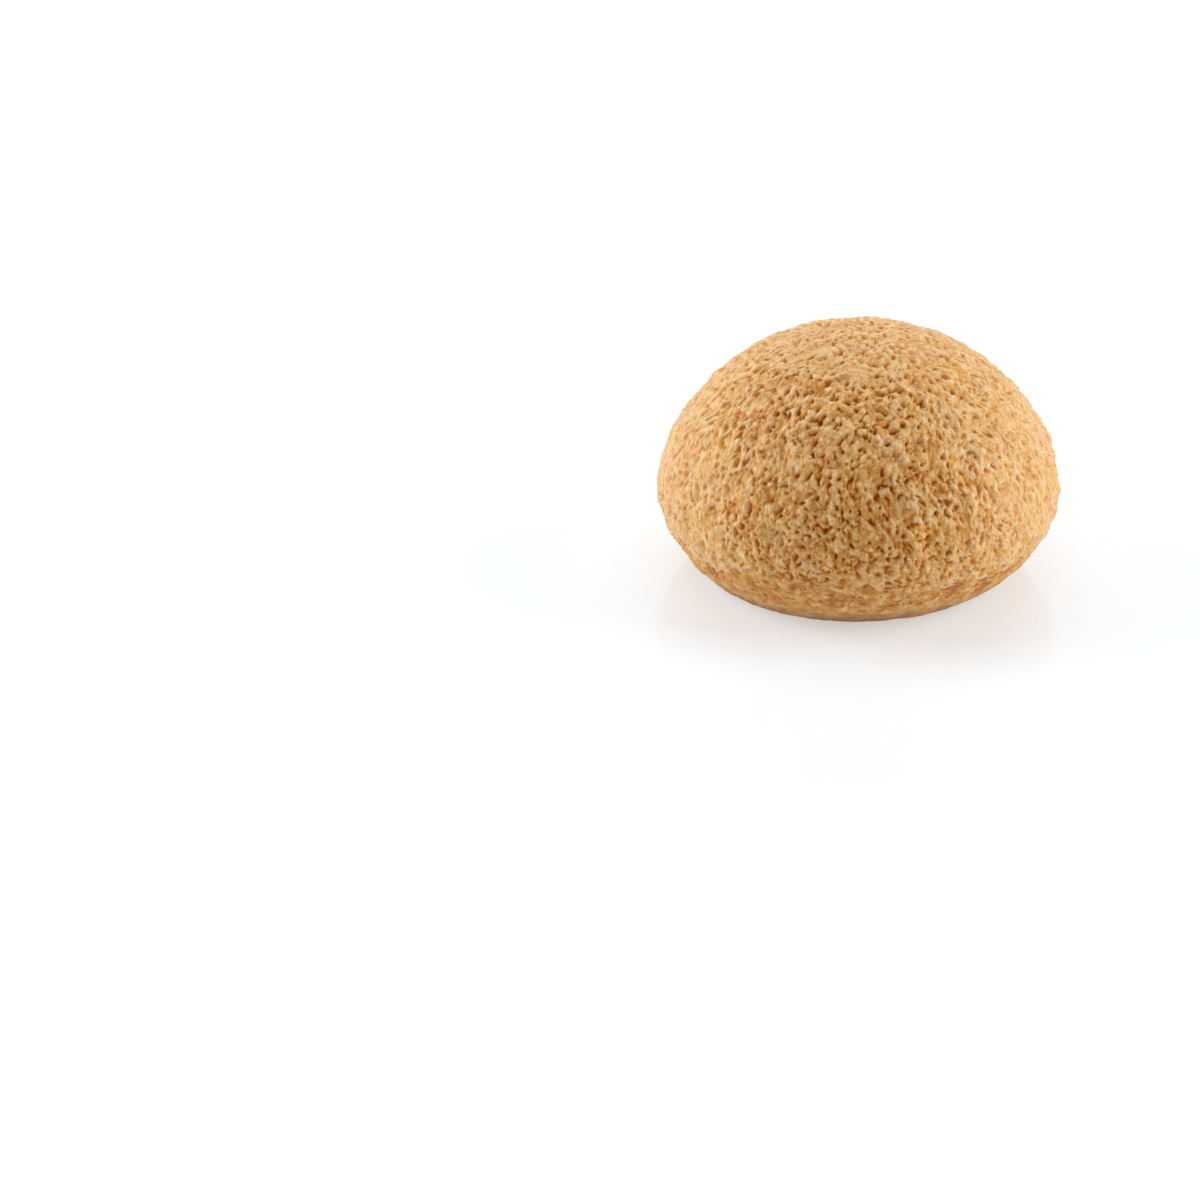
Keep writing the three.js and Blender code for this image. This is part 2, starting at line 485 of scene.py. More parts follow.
# %% Helpers for grids and meshes
def disc_grid(count):
    """A square grid bent into a disc: (share of the radius, azimuth), both count by count.

    Each square ring becomes a circle: the larger coordinate is the radius, and their quotient
    times an eighth of a turn is the angle off that axis.
    """
    line = np.linspace(-1, 1, count)
    a, b = np.meshgrid(line, line)
    wide = np.abs(a) > np.abs(b)
    radius = np.where(wide, a, b)
    safe = np.where(radius == 0, 1, radius)
    angle = np.where(wide, b / safe, 2 - a / safe) * math.pi / 4
    turned = angle + np.where(radius < 0, math.pi, 0)
    return np.abs(radius), turned


def grid_faces(rows, wrap=False):
    """Quads between neighbouring rows of vertex numbers. With wrap, each row closes on itself."""
    nxt = np.roll(rows, -1, axis=1) if wrap else rows[:, 1:]
    own = rows if wrap else rows[:, :-1]
    quads = np.stack([own[:-1], own[1:], nxt[1:], nxt[:-1]], -1)
    return quads.reshape(-1, 4)


def rim_of(numbers):
    """The vertex numbers round the edge of a square grid, in order, counter-clockwise."""
    return np.concatenate([numbers[0, :-1], numbers[:-1, -1], numbers[-1, :0:-1], numbers[:0:-1, 0]])


def new_piece(name, points, quads, triangles=None, values=None):
    """A smooth-shaded mesh object from points in millimetres, with named values on its vertices."""
    triangles = np.zeros((0, 3), int) if triangles is None else triangles
    mesh = bpy.data.meshes.new(name)
    mesh.vertices.add(len(points))
    mesh.vertices.foreach_set("co", (points * MM).astype(np.float32).ravel())
    loops = np.concatenate([quads.ravel(), triangles.ravel()]).astype(np.int32)
    sizes = np.concatenate([np.full(len(quads), 4), np.full(len(triangles), 3)])
    mesh.loops.add(len(loops))
    mesh.loops.foreach_set("vertex_index", loops)
    mesh.polygons.add(len(sizes))
    mesh.polygons.foreach_set("loop_start", (np.cumsum(sizes) - sizes).astype(np.int32))
    mesh.update(calc_edges=True)
    mesh.polygons.foreach_set("use_smooth", np.ones(len(sizes), bool))
    for key, value in (values or {}).items():
        layer = mesh.attributes.new(key, "FLOAT", "POINT")
        layer.data.foreach_set("value", value.astype(np.float32))
    mesh.validate()
    piece = bpy.data.objects.new(name, mesh)
    bpy.context.scene.collection.objects.link(piece)
    print(f"{name}: {len(points)} points, {2 * len(quads) + len(triangles)} triangles")
    return piece


# %% Where the crust's grid points go
DISC_COUNT = 257
DISC_REACH = 31.4  # from the crown to the ring where crown and flanks meet, along the surface
ROW_STEP = 0.22
LIP_ROWS = 6
LIP_DROOP = 0.15
CRUST_THICKNESS = 1.5
WALL_ROWS = 5
DIP = np.array([[0.12, 0.06], [0.25, 0.3]])  # how far past the ring, and how deep there

share, disc_azimuth = disc_grid(DISC_COUNT)
numbers = np.arange(DISC_COUNT**2).reshape(DISC_COUNT, DISC_COUNT)
rim = rim_of(numbers)
rim_azimuth = disc_azimuth.ravel()[rim]
edge_fall = (WAIST_HEIGHT - ragged_edge(rim_azimuth)) / POINT_DEPTH
edge_distance = distance_at(-np.arcsin(edge_fall))
outer_rows = round((edge_distance.mean() - DISC_REACH) / ROW_STEP)
print(f"The crust ends {edge_distance.min():.1f} to {edge_distance.max():.1f} mm from the crown")


# %% The crust's surface at grid points
def crust_surface(distance, azimuth, depth):
    """(points, stand, hole) of the crust: how far the grain stands out and how deep in a pit it
    is at each point. The smooth form is moved out by the relief, and in by the depth. The relief
    fades with depth, and is gone on the inner wall.
    """
    smooth = smooth_form(latitude_at(distance), azimuth)
    height, grain, hole = crust_relief(smooth)
    shown = 1 - depth / CRUST_THICKNESS
    points = smooth + outward(smooth) * (height * shown - depth)[..., None]
    return points, grain * shown, hole * shown


def rings(distances, depths):
    """(distance, azimuth, depth) grids with one row for each ring, and a column for each rim point."""
    rows = np.broadcast_arrays(distances, rim_azimuth, depths)
    return [row.astype(float) for row in rows]


# %% The crown of the crust
past = np.concatenate([DISC_REACH + DIP[:, 0], np.linspace(DISC_REACH, 0, WALL_ROWS + 1)[:-1]])
sunk = np.concatenate([DIP[:, 1], np.full(WALL_ROWS, CRUST_THICKNESS)])
under = rings(past[:, None], sunk[:, None])
disc = [share * DISC_REACH, disc_azimuth, 0 * share]
inner_pole = [[0.0], [0.0], [CRUST_THICKNESS]]
crown_grid = [np.concatenate([d.ravel(), u.ravel(), p]) for d, u, p in zip(disc, under, inner_pole)]
crown_points, crown_stand, crown_hole = crust_surface(*crown_grid)

under_numbers = DISC_COUNT**2 + np.arange(under[0].size).reshape(under[0].shape)
crown_rings = grid_faces(np.concatenate([rim[None], under_numbers]), wrap=True)
last = under_numbers[-1]
crown_cap = np.stack([last, np.full_like(last, len(crown_points) - 1), np.roll(last, -1)], -1)
in_pits = 100 * (crown_hole > 0.15).mean()
print(f"Pits and cracks cover {in_pits:.0f}% of the crown and go {crown_hole.max():.2f} mm deep")


# %% The flanks of the crust
def flank_rings():
    """(distance, azimuth, depth) of the flanks' rings, all the way round their cross-section.

    After the dip, outer rows share the way down to the edge evenly. The lip is half an ellipse:
    it droops by a sine and goes in by one minus a cosine. The inner wall goes back up.
    """
    down = np.linspace(0, 1, outer_rows + 1)[:, None]
    turn = np.linspace(0, math.pi, LIP_ROWS + 1)[1:, None]
    up = np.linspace(1, 0, WALL_ROWS + 1)[1:, None]
    way = edge_distance - DISC_REACH
    parts = [
        rings(DISC_REACH - DIP[::-1, :1], DIP[::-1, 1:]),
        rings(DISC_REACH + way * down, 0 * down),
        rings(edge_distance + LIP_DROOP * np.sin(turn), CRUST_THICKNESS * (1 - np.cos(turn)) / 2),
        rings(DISC_REACH + way * up, CRUST_THICKNESS),
    ]
    return [np.concatenate(grids) for grids in zip(*parts)]


flank_grid = flank_rings()
flank_points, flank_stand, _ = crust_surface(*flank_grid)
flank_numbers = np.arange(flank_grid[0].size).reshape(flank_grid[0].shape)
flank_faces = grid_faces(np.concatenate([flank_numbers, flank_numbers[:1]]), wrap=True)
flank_points = flank_points.reshape(-1, 3)

# %% [markdown]
# The box of the solid is centred on the origin, and crags decide where its sides are. So the
# finished crust is centred the same way, and everything else moves with it.

# %% Centre the crust and make its meshes
sideways = (flank_points.min(0) + flank_points.max(0)) / 2 * [1, 1, 0]
crown_faces = np.concatenate([grid_faces(numbers.T), crown_rings])
crown_values = {"stand": crown_stand}
flank_values = {"stand": flank_stand.ravel()}
crust_crown = new_piece("crust_crown", crown_points - sideways, crown_faces, crown_cap, crown_values)
crust_flanks = new_piece("crust_flanks", flank_points - sideways, flank_faces, None, flank_values)
print("Moved sideways by", -sideways.round(2), "mm")

# %% [markdown]
# ## Crumbs on the crust
#
# Here and there a crumb of sugar and flour did not melt in, and stands on the ridges as a grain.
# Thousands of them need few faces each, so each is an icosahedron, stretched and turned its own
# way and sunk a little more than halfway in. Their faces are shaded flat, because smooth shading
# on so few leaves dark smudges. They are one mesh, because one would never pick them up singly.

# %% One crumb, and where crumbs lie
CRUMB_COUNT = 9000  # counted over a whole sphere
CRUMB_SINK = 0.06  # how far a crumb's middle lies under the crust's surface
SHALLOW = 0.08  # where a pit is deeper than this no crumb lies
ABOVE_EDGE = 0.4  # and none lies nearer to the crust's edge
GOLDEN = (1 + math.sqrt(5)) / 2

corner_pairs = np.array([[0, a, b * GOLDEN] for a in (-1, 1) for b in (-1, 1)])
corners = np.concatenate([np.roll(corner_pairs, k, axis=1) for k in range(3)]) / math.hypot(1, GOLDEN)


def corner_faces():
    """The icosahedron's 20 triangles: each three corners that are all an edge apart, turned so
    that their cross product points outwards.
    """
    near = np.linalg.norm(corners[:, None] - corners[None], axis=-1) < 1.1
    a, b, c = np.meshgrid(*[np.arange(12)] * 3, indexing="ij")
    found = near[a, b] & near[b, c] & near[a, c] & (a < b) & (b < c)
    faces = np.stack([a[found], b[found], c[found]], -1)
    p, q, r = (corners[faces[:, k]] for k in range(3))
    flipped = (np.cross(q - p, r - p) * p).sum(-1) < 0
    faces[flipped] = faces[flipped][:, ::-1]
    return faces


def crumb_places():
    """(middles, stand) of the crumbs: spiral directions moved about, kept where they are on the
    crust, out of its pits, and where a soft noise gathers them.
    """
    i = np.arange(CRUMB_COUNT)
    off = np.stack([draw(i, 51) - 0.5, draw(i, 52) - 0.5, draw(i, 53) - 0.5], -1)
    direction = spiral_directions(CRUMB_COUNT) + 2 * off * math.sqrt(4 * math.pi / CRUMB_COUNT)
    direction /= np.linalg.norm(direction, axis=-1, keepdims=True)
    azimuth = np.arctan2(direction[:, 1], direction[:, 0])
    smooth = smooth_form(np.arcsin(direction[:, 2]), azimuth)
    height, grain, hole = crust_relief(smooth)
    kept = (smooth[:, 2] > crust_edge(azimuth) + ABOVE_EDGE) & (hole < SHALLOW)
    kept &= soft_noise(smooth, 5.0, 55) > -0.25
    return (smooth + outward(smooth) * (height - CRUMB_SINK)[:, None])[kept], grain[kept]


crumb_faces = corner_faces()
crumb_middles, crumb_stand = crumb_places()
print(f"{len(crumb_middles)} crumbs of {len(crumb_faces)} faces each")

# %% The crumbs' mesh
CRUMB_RADIUS = (0.12, 0.26)
CRUMB_STAND = 0.08  # how much further out than the crust under it a crumb is coloured

which = np.arange(len(crumb_middles))
size = between(CRUMB_RADIUS, draw(which, 61) ** 2)
turn = 2 * math.pi * draw(which, 62)
stretch = np.stack([0.8 + 0.5 * draw(which, 63 + k) for k in range(3)], -1)
dents = 1 + 0.25 * (draw(which[:, None] * 12 + np.arange(12), 70) - 0.5)
shape = corners * stretch[:, None] * (size[:, None] * dents)[..., None]
turned_x = shape[..., 0] * np.cos(turn)[:, None] - shape[..., 1] * np.sin(turn)[:, None]
turned_y = shape[..., 0] * np.sin(turn)[:, None] + shape[..., 1] * np.cos(turn)[:, None]
shape = np.stack([turned_x, turned_y, shape[..., 2]], -1)
crumb_points = (crumb_middles[:, None] + shape).reshape(-1, 3)
crumb_triangles = (crumb_faces + 12 * which[:, None, None]).reshape(-1, 3)
crumb_values = {"stand": np.repeat(crumb_stand + CRUMB_STAND, 12)}
no_quads = np.zeros((0, 4), int)
crust_crumbs = new_piece("crust_crumbs", crumb_points - sideways, no_quads, crumb_triangles, crumb_values)
crust_crumbs.data.shade_flat()

# %% [markdown]
# ## The choux
#
# Below the crust's edge the choux itself shows: a smoother, glossier band with shallow blisters
# and small pits, a darker brown low down, towards its foot. Its foot is flat, with a small
# round at its edge. Under the crust it goes on as a sunken dome, so that it is one closed body.
#
# Its underside is a bent square grid again, and rings go up from its rim: over the foot's round,
# up the band, in under the crust, and on to the crown.

# %% The choux's skin
BLISTERS = (5, 0.09)  # a ripple's wavelength and its height
LUMPS = (1.5, 0.2)  # the size of cells and the height of the domes on them
FINE_LUMPS = (0.65, 0.2)
PORE_SPACING = 1.2
PORE_DEPTH = 0.14
MARK_DEPTH = 0.1  # of the brown marks that wind below the crust
SKIN_PIT_DEPTH = 0.25
SPOT = np.array([15.2, -26.6, 8.0])  # the one dark spot on the front of the band
SPOT_SIZE = np.array([1.7, 1.7, 0.9])


def domes(points, size, salt):
    """(height, seam): domes on cell noise, and closeness to the seams between them.

    A size is a pair of the cells' width and the domes' height. The seam is one where the two
    nearest points are equally far away.
    """
    width, height = size
    nearest, second, _ = cell_noise(points, width, salt)
    return height * (0.5 - nearest), 1 - smoothstep(second - nearest, 0.0, 0.25)


def blisters(points):
    """(height, brown) of the choux's skin: blisters, lumps of two sizes and open pores, and how
    brown each point is, from 0 to 1.

    The skin is brown in its pores, in the seams between its lumps, in winding marks near the
    crust, where a soft noise crosses zero, in pits, where the knots are low, and in one spot.
    """
    height = points[..., 2]
    loose = wander(points * [1, 1, 1.2], 1.4, 0.5, 300)
    lumps, seam = domes(loose, LUMPS, 310)
    fine_lumps, _ = domes(loose, FINE_LUMPS, 320)
    nearest, _, luck = cell_noise(loose, PORE_SPACING, 340)
    pore = smoothstep(-nearest / (0.1 + 0.22 * luck), -1, -0.4)
    crossing = np.abs(soft_noise(wander(points, 1.6, 0.9, 370), 1.5, 380))
    patch = smoothstep(soft_noise(points, 3.2, 390), -0.1, 0.5)
    mark = (1 - smoothstep(crossing, 0.03, 0.22)) * patch * smoothstep(height, 2.0, 6.5)
    pit = smoothstep(-knots(points), 0.5, 2.8) * smoothstep(height, 1.5, 6.0)
    spot = np.exp(-(((points - SPOT) / SPOT_SIZE) ** 2).sum(-1))
    brown = np.clip(0.8 * pore + 0.7 * mark + 0.35 * seam + pit + spot, 0, 1)
    raised = rippled(points, BLISTERS, 40) + (lumps + fine_lumps)
    return raised - PORE_DEPTH * pore - MARK_DEPTH * mark - SKIN_PIT_DEPTH * pit, brown


# %% Points of the choux
HIDDEN_DEPTH = 1.75
TUCK_START = 1.0  # above the crust's edge, where the choux goes in under the crust
TUCK_WIDTH = 1.2
FOOT_ROUND = 0.45
LEVEL_BELOW = 5.0  # below this height the skin is moved more and more level


def choux_points(distance, azimuth, depth):
    """Points of the choux's skin, and how brown each is.

    The smooth form is moved out by the relief less the depth, along a direction that turns level
    towards the foot. The lowest FOOT_ROUND is then drawn in by a quarter circle.
    """
    smooth = smooth_form(latitude_at(distance), azimuth)
    relief, brown = blisters(smooth)
    away = smooth - MIDDLE
    away[..., 2] *= smoothstep(smooth[..., 2], 0, LEVEL_BELOW)
    away /= np.linalg.norm(away, axis=-1, keepdims=True)
    points = smooth + away * (swell(smooth) + relief - depth)[..., None]
    low_by = np.clip(FOOT_ROUND - points[..., 2], 0, FOOT_ROUND)
    pull = FOOT_ROUND - np.sqrt(FOOT_ROUND**2 - low_by**2)
    points[..., :2] *= 1 - pull[..., None] / np.linalg.norm(points[..., :2], axis=-1, keepdims=True)
    return points, brown


# %% Rings of the band and the hidden dome
SOLE_COUNT = 181
BAND_ROWS = 70
HIDDEN_ROWS = 9

sole_share, sole_azimuth = disc_grid(SOLE_COUNT)
sole_numbers = np.arange(SOLE_COUNT**2).reshape(SOLE_COUNT, SOLE_COUNT)
sole_rim = rim_of(sole_numbers)
azimuth = sole_azimuth.ravel()[sole_rim]
edge = distance_at(-np.arcsin((WAIST_HEIGHT - crust_edge(azimuth)) / POINT_DEPTH))
foot = outline_lengths[-1]
top = edge - TUCK_START - TUCK_WIDTH

up = np.linspace(0, 1, BAND_ROWS + 1)[1:, None]
over = np.linspace(1, 0, HIDDEN_ROWS + 1)[1:-1, None]
band_distance = np.concatenate([foot + (top - foot) * up, top * over])
tuck = smoothstep(edge - band_distance, TUCK_START, TUCK_START + TUCK_WIDTH)
band_depth = BAND_DEPTH + (HIDDEN_DEPTH - BAND_DEPTH) * tuck
band_azimuth = np.broadcast_to(azimuth, band_distance.shape)
band, band_brown = choux_points(band_distance, band_azimuth, band_depth)
print(f"The band is {(foot - edge).mean():.1f} mm from foot to crust, along the surface")

# %% The sole and the crown point
SOLE_DENT = 0.16  # how high the underside's dents go
FLAT_FROM = 0.93  # the share of the foot's radius from which it is more and more flat

full = np.ones_like(sole_azimuth)
foot_ring, _ = choux_points(foot * full, sole_azimuth, BAND_DEPTH * full)
foot_middle = np.array([FOOT_SHIFT, 0, 0])
sole = foot_middle + (foot_ring - foot_middle) * sole_share[..., None]
dents = 0.5 + 0.5 * soft_noise(wander(sole, 3, 1, 350), 1.6, 360)
sole[..., 2] = SOLE_DENT * dents * smoothstep(-sole_share, -1, -FLAT_FROM)

crown, _ = choux_points(np.zeros(1), np.zeros(1), np.full(1, HIDDEN_DEPTH))
choux_xyz = np.concatenate([sole.reshape(-1, 3), band.reshape(-1, 3), crown])
brown = np.concatenate([np.zeros(SOLE_COUNT**2), band_brown.ravel(), [0.0]])

# %% The choux's mesh
band_numbers = SOLE_COUNT**2 + np.arange(band_distance.size).reshape(band_distance.shape)
band_rings = np.concatenate([sole_rim[None], band_numbers])
last = band_numbers[-1]
crown_fan = np.stack([np.full_like(last, len(choux_xyz) - 1), last, np.roll(last, -1)], -1)
choux = new_piece(
    "baked_choux",
    choux_xyz - sideways,
    np.concatenate([grid_faces(sole_numbers), grid_faces(band_rings[::-1], wrap=True)]),
    crown_fan,
    {"brown": brown},
)

# %% [markdown]
# ## Finishes
#
# On this crust the ridges are a pale beige, and the pits, where the sugar ran and browned, are a
# deep golden brown. The crust's grid already knows how far each point stands out, so that value
# drives the colour, and the colour cannot slip off its pit. The shadows in the pits are left to
# the light. Two sets of soft blotches vary the colour: wide ones make what stands out a little
# greyer, and small flecks are more golden.


# %% Helpers for materials
def srgb(red, green, blue):
    """A colour given in 0 to 255, as a screen shows it, in the linear numbers that light uses."""
    share = np.array([red, green, blue]) / 255
    linear = np.where(share <= 0.04045, share / 12.92, ((share + 0.055) / 1.055) ** 2.4)
    return (*linear.tolist(), 1.0)


def new_material(name):
    """A material and its node tree, its Principled BSDF, and a function that adds a node to it."""
    material = bpy.data.materials.new(name)
    material.use_nodes = True
    tree = material.node_tree
    return material, tree, tree.nodes["Principled BSDF"], node_adder(tree)


def node_adder(tree):
    """A function that adds a node of a kind to the tree, sets its properties and its inputs."""

    def add(kind, inputs=None, **properties):
        node = tree.nodes.new(kind)
        for key, value in properties.items():
            setattr(node, key, value)
        for key, value in (inputs or {}).items():
            if isinstance(value, bpy.types.NodeSocket):
                tree.links.new(value, node.inputs[key])
            else:
                node.inputs[key].default_value = value
        return node

    return add


def ramp(add, value, stops):
    """A colour for each value, blended between stops of (place, colour)."""
    node = add("ShaderNodeValToRGB", {"Fac": value})
    elements = node.color_ramp.elements
    while len(elements) < len(stops):
        elements.new(0.5)
    for element, (place, colour) in zip(elements, stops):
        element.position = place
        element.color = colour
    return node.outputs["Color"]


def mix(add, share, first, second, blend="MIX"):
    """Two colours mixed by a share, or blended in another way."""
    node = add("ShaderNodeMix", data_type="RGBA", blend_type=blend)
    for index, value in ((0, share), (6, first), (7, second)):
        if isinstance(value, bpy.types.NodeSocket):
            node.id_data.links.new(value, node.inputs[index])
        else:
            node.inputs[index].default_value = value
    return node.outputs[2]


# %% [markdown]
# Two effects are node groups with named inputs, so that each is made once and a finish only
# gives its own values. "Fine grain and shading", on crust and choux alike, is what is too small
# even for the mesh: grains of flour and sugar about 0.4 mm across, as a height for a bump, and a
# brightness that is painted shade where a grain lies low and a painted highlight where it stands
# up. "Baked blotches" are soft patches, as two masks of different sizes.


# %% The shared node groups
def new_group(name, inputs, outputs):
    """A shader node group with named sockets, its tree, its input and output nodes, and an adder."""
    tree = bpy.data.node_groups.new(name, "ShaderNodeTree")
    for key, kind, value in inputs:
        socket = tree.interface.new_socket(key, in_out="INPUT", socket_type=kind)
        if value is not None:
            socket.default_value = value
    for key, kind in outputs:
        tree.interface.new_socket(key, in_out="OUTPUT", socket_type=kind)
    add = node_adder(tree)
    return tree, add("NodeGroupInput"), add("NodeGroupOutput"), add


def fine_grain_group():
    """A height, which is noise plus the domes of cells, both on Object coordinates, and a
    brightness that follows it by the contrast: painted shade where the grain is low and a
    painted highlight where it is high.
    """
    tree, given, result, add = new_group(
        "fine_grain_and_shading",
        [("Grains per metre", "NodeSocketFloat", 2600.0), ("Contrast", "NodeSocketFloat", 0.1)],
        [("Height", "NodeSocketFloat"), ("Painted grain shading", "NodeSocketFloat")],
    )
    place = add("ShaderNodeTexCoord").outputs["Object"]
    scale = given.outputs["Grains per metre"]
    noise = add("ShaderNodeTexNoise", {"Vector": place, "Scale": scale, "Detail": 2.0, "Roughness": 0.6})
    cells = add("ShaderNodeTexVoronoi", {"Vector": place, "Scale": scale})
    dome = add("ShaderNodeMath", {0: 1.0, 1: cells.outputs["Distance"]}, operation="SUBTRACT")
    height = add("ShaderNodeMath", {0: noise.outputs["Fac"], 1: dome.outputs[0]}, operation="ADD")
    centred = add("ShaderNodeMath", {0: height.outputs[0], 1: 1.0}, operation="SUBTRACT")
    gain = add(
        "ShaderNodeMath",
        {0: centred.outputs[0], 1: given.outputs["Contrast"], 2: 1.0},
        operation="MULTIPLY_ADD",
    )
    tree.links.new(height.outputs[0], result.inputs["Height"])
    tree.links.new(gain.outputs[0], result.inputs["Painted grain shading"])
    return tree


def baked_blotches_group():
    """Two masks from 0 to 1: noise on Object coordinates, with its contrast raised."""
    tree, given, result, add = new_group(
        "baked_blotches",
        [("Blotches per metre", "NodeSocketFloat", 160.0), ("Flecks per metre", "NodeSocketFloat", 420.0)],
        [("Blotches", "NodeSocketFloat"), ("Flecks", "NodeSocketFloat")],
    )
    place = add("ShaderNodeTexCoord").outputs["Object"]
    for mask, rate in (("Blotches", "Blotches per metre"), ("Flecks", "Flecks per metre")):
        noise = add("ShaderNodeTexNoise", {"Vector": place, "Scale": given.outputs[rate], "Detail": 2.0})
        raised = add("ShaderNodeMapRange", {0: noise.outputs["Fac"], 1: 0.35, 2: 0.65})
        tree.links.new(raised.outputs[0], result.inputs[mask])
    return tree


fine_grain_and_shading = fine_grain_group()
baked_blotches = baked_blotches_group()
print("Node groups:", fine_grain_and_shading.name, "and", baked_blotches.name)


# %% The crust's finish
STAND_ENDS = (-0.6, 0.12)  # millimetres that the deepest and the highest colour stand for
CRUST_COLOURS = (
    (0.0, srgb(178, 90, 20)),
    (0.4, srgb(202, 128, 36)),
    (0.72, srgb(219, 161, 72)),
    (1.0, srgb(238, 204, 158)),
)
GREYER = srgb(212, 162, 120)
GOLDEN_FLECK = srgb(242, 214, 120)


def crust_finish():
    """Colour from how far a point stands out or lies in a pit, varied by blotches and by the fine
    grain's painted shade and highlight. The specular level goes down with it, because little light
    is mirrored out of a pit.
    """
    material, tree, shader, add = new_material("craquelin_crust")
    stand = add("ShaderNodeAttribute", attribute_name="stand").outputs["Fac"]
    level = add("ShaderNodeMapRange", {0: stand, 1: STAND_ENDS[0], 2: STAND_ENDS[1]}).outputs[0]
    baked = ramp(add, level, CRUST_COLOURS)
    blotches = add("ShaderNodeGroup", {"Flecks per metre": 600.0}, node_tree=baked_blotches)
    raised = add("ShaderNodeMath", {0: level, 1: 0.35}, operation="MULTIPLY").outputs[0]
    greyer = add("ShaderNodeMath", {0: blotches.outputs["Blotches"], 1: raised}, operation="MULTIPLY")
    golden = add("ShaderNodeMath", {0: blotches.outputs["Flecks"], 1: 0.35}, operation="MULTIPLY")
    shine = add("ShaderNodeMath", {0: level, 1: 0.5}, operation="MULTIPLY")
    colour = mix(add, greyer.outputs[0], baked, GREYER)
    colour = mix(add, golden.outputs[0], colour, GOLDEN_FLECK, "MULTIPLY")
    grain = add("ShaderNodeGroup", {"Contrast": 0.35}, node_tree=fine_grain_and_shading)
    # The fine grain's brightness, multiplied in here, is painted shade and painted highlight.
    colour = mix(add, 1.0, colour, grain.outputs["Painted grain shading"], "MULTIPLY")
    bump = add("ShaderNodeBump", {"Height": grain.outputs["Height"], "Strength": 0.6, "Distance": 0.00012})
    tree.links.new(colour, shader.inputs["Base Color"])
    tree.links.new(bump.outputs["Normal"], shader.inputs["Normal"])
    tree.links.new(shine.outputs[0], shader.inputs["Specular IOR Level"])
    shader.inputs["Roughness"].default_value = 0.6
    shader.inputs["Sheen Weight"].default_value = 0.4
    shader.inputs["Sheen Roughness"].default_value = 0.45
    return material


crust_pieces = (crust_crown, crust_flanks, crust_crumbs)
crust_material = crust_finish()
for piece in crust_pieces:
    piece.data.materials.append(crust_material)


# %% The choux's finish
SKIN_COLOURS = ((0.35, srgb(192, 118, 32)), (0.5, srgb(214, 157, 74)), (0.65, srgb(232, 190, 116)))
PORE_BROWN = srgb(172, 96, 30)
FOOT_BROWN = srgb(142, 92, 46)
FOOT_BROWN_HEIGHT = 0.004  # in metres, up to where the foot's brown fades out


def choux_finish():
    """Golden skin, orange-brown in its marks and pores, dull brown towards the foot, and painted shade and
    highlight from the fine grain.
    """
    material, tree, shader, add = new_material("baked_choux")
    place = add("ShaderNodeTexCoord").outputs["Object"]
    flattened = add("ShaderNodeMapping", {"Vector": place, "Scale": (1, 1, 1.1)}).outputs["Vector"]
    noise = {"Vector": flattened, "Scale": 480.0, "Detail": 4.0, "Roughness": 0.6}
    skin = ramp(add, add("ShaderNodeTexNoise", noise).outputs["Fac"], SKIN_COLOURS)
    brown = add("ShaderNodeAttribute", attribute_name="brown").outputs["Fac"]
    colour = mix(add, brown, skin, PORE_BROWN)
    height = add("ShaderNodeSeparateXYZ", {"Vector": place}).outputs["Z"]
    fade = {0: height, 1: 0.0, 2: FOOT_BROWN_HEIGHT, 3: 0.9, 4: 0.0}
    low_down = add("ShaderNodeMapRange", fade).outputs[0]
    colour = mix(add, low_down, colour, FOOT_BROWN)
    grain = add("ShaderNodeGroup", {"Contrast": 0.3}, node_tree=fine_grain_and_shading)
    # The fine grain's brightness, multiplied in here, is painted shade and painted highlight.
    colour = mix(add, 1.0, colour, grain.outputs["Painted grain shading"], "MULTIPLY")
    bump = add("ShaderNodeBump", {"Height": grain.outputs["Height"], "Strength": 0.5, "Distance": 0.0001})
    tree.links.new(colour, shader.inputs["Base Color"])
    tree.links.new(bump.outputs["Normal"], shader.inputs["Normal"])
    shader.inputs["Roughness"].default_value = 0.55
    shader.inputs["Specular IOR Level"].default_value = 0.4
    return material


choux.data.materials.append(choux_finish())

# %% [markdown]
# ## Standing in for the solid
#
# Crust and choux together take the plain solid's place. The solid is hidden but still carries
# the bun's weight and collision, and the new pieces ride on its body.

# %% Ride on the body
for piece in (*crust_pieces, choux):
    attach(piece, "root")
    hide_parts(BUN)

# %% [markdown]
# ## Table, light and camera
#
# The bun stands on a glossy white table under studio lights: a tall soft light on each side, a
# little behind it, and a broad one above and behind. None stands towards the viewer, where only
# the dim and warmer light of the room itself falls on the bun. That makes the flanks pale and the
# front deeper in colour, and it draws out each pit.


# %% The table
def table_finish():
    """White acrylic. About half of its brightness is a glow from below, so that shadows on it stay
    pale, and it is smooth enough for a faint reflection.
    """
    material, _, shader, _ = new_material("white_table")
    shader.inputs["Base Color"].default_value = (0.475, 0.498, 0.52, 1)
    shader.inputs["Roughness"].default_value = 0.08
    shader.inputs["Specular IOR Level"].default_value = 0.3
    shader.inputs["Emission Color"].default_value = (1, 1, 1, 1)
    shader.inputs["Emission Strength"].default_value = 0.48
    return material


TABLE_SIZE = 6.0
bpy.ops.mesh.primitive_plane_add(size=TABLE_SIZE)
table = bpy.context.object
table.name = "table"
table.data.materials.append(table_finish())


# %% The lights
LAMP_COLOUR = (0.885, 0.98, 1.04)  # a little cooler than white


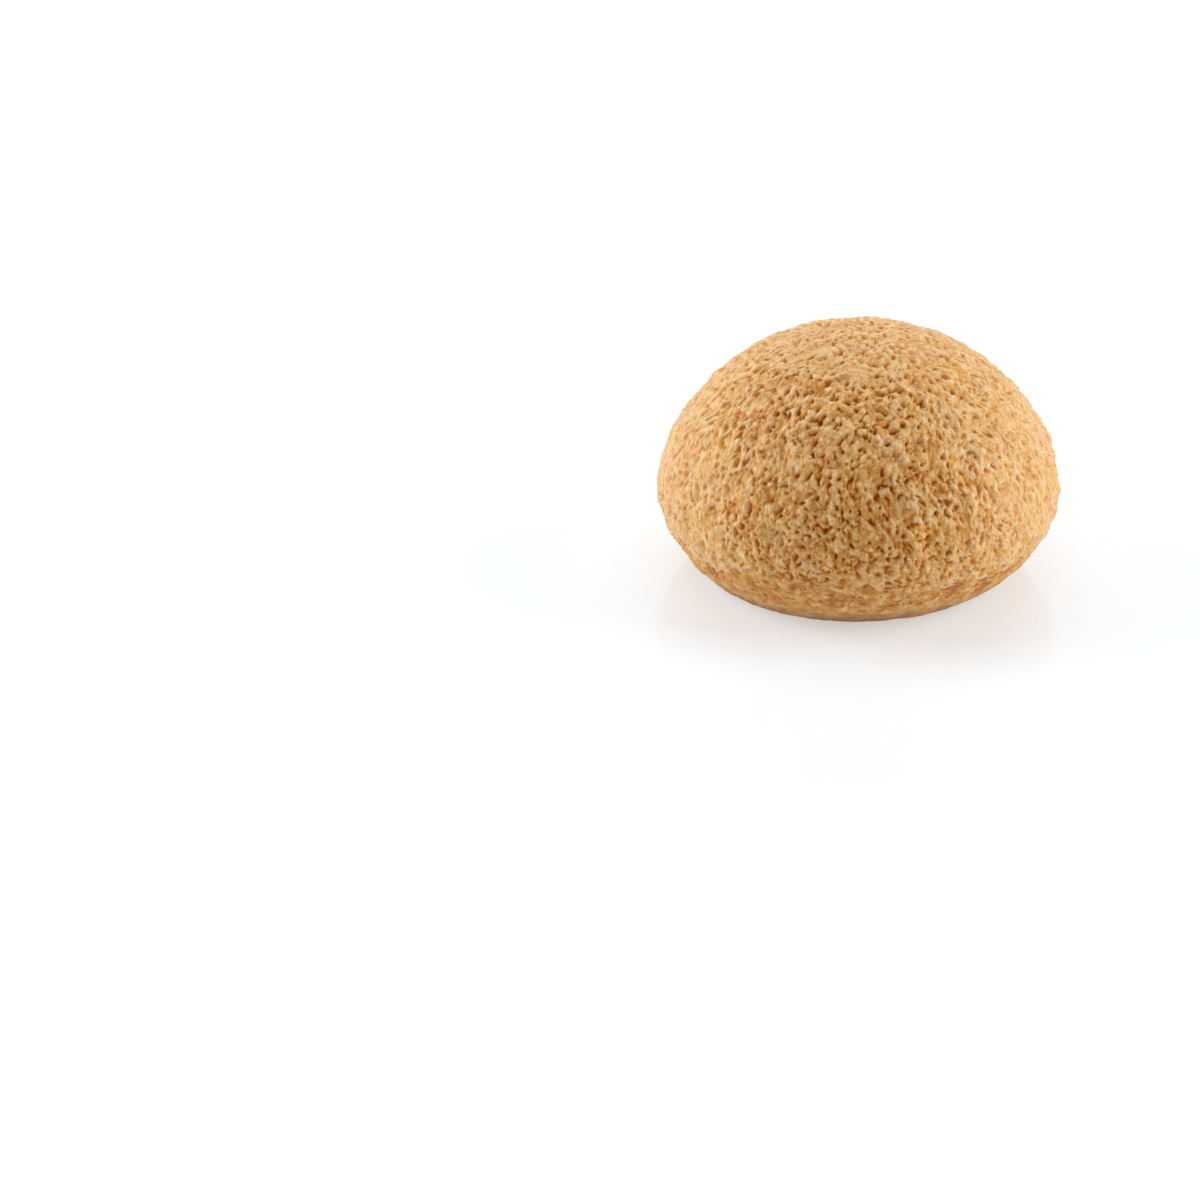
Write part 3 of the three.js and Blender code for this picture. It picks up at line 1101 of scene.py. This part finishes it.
def soft_light(name, place, size, watts, aim=(0, 0, 0.02)):
    """A rectangular light at a place in metres, turned to the aim."""
    data = bpy.data.lights.new(name, "AREA")
    data.shape = "RECTANGLE"
    data.size, data.size_y = size
    data.energy = watts
    data.color = LAMP_COLOUR
    light = bpy.data.objects.new(name, data)
    bpy.context.scene.collection.objects.link(light)
    towards = Vector(aim) - Vector(place)
    light.location = place
    light.rotation_euler = towards.to_track_quat("-Z", "Y").to_euler()
    return light


soft_light("left_light", (-0.75, 0.12, 0.3), (0.5, 0.7), 6.2)
soft_light("right_light", (0.75, 0.03, 0.25), (0.5, 0.7), 6.4)
soft_light("top_light", (0, 0.5, 0.75), (0.9, 0.6), 3.3)

# %% The room
FILL = 0.335  # what the room itself adds to the lamps
FILL_COLOUR = (1.08, 0.98, 0.9)  # and it is warmer than they are
WHITE = (1.0, 1.0, 1.0, 1.0)  # but the camera and reflections see it as plain white

fill_colour = (*(FILL * np.array(FILL_COLOUR)).tolist(), 1.0)
world = bpy.data.worlds.new("studio")
bpy.context.scene.world = world
world.use_nodes = True
add = node_adder(world.node_tree)
diffuse = add("ShaderNodeLightPath").outputs["Is Diffuse Ray"]
room = mix(add, diffuse, WHITE, fill_colour)
backdrop = world.node_tree.nodes["Background"]
world.node_tree.links.new(room, backdrop.inputs["Color"])

# %% [markdown]
# The camera looks down at 25 degrees through a long lens, as in product photographs. The bun
# stands to the right of the picture's middle and above it, so the camera aims at a point on the
# table to the left of the bun and nearer.

# %% The camera
VIEW_ELEVATION = math.radians(25)
VIEW_DISTANCE = 0.802
AIM = Vector((-0.0402, -0.0173, 0))

camera_data = bpy.data.cameras.new("camera")
camera_data.lens = 150
camera = bpy.data.objects.new("camera", camera_data)
bpy.context.scene.collection.objects.link(camera)
camera.location = VIEW_DISTANCE * Vector((0, -math.cos(VIEW_ELEVATION), math.sin(VIEW_ELEVATION)))
camera.rotation_euler = (AIM - camera.location).to_track_quat("-Z", "Y").to_euler()
bpy.context.scene.camera = camera

bpy.context.scene.view_settings.view_transform = "Standard"
bpy.context.scene.view_settings.look = "None"
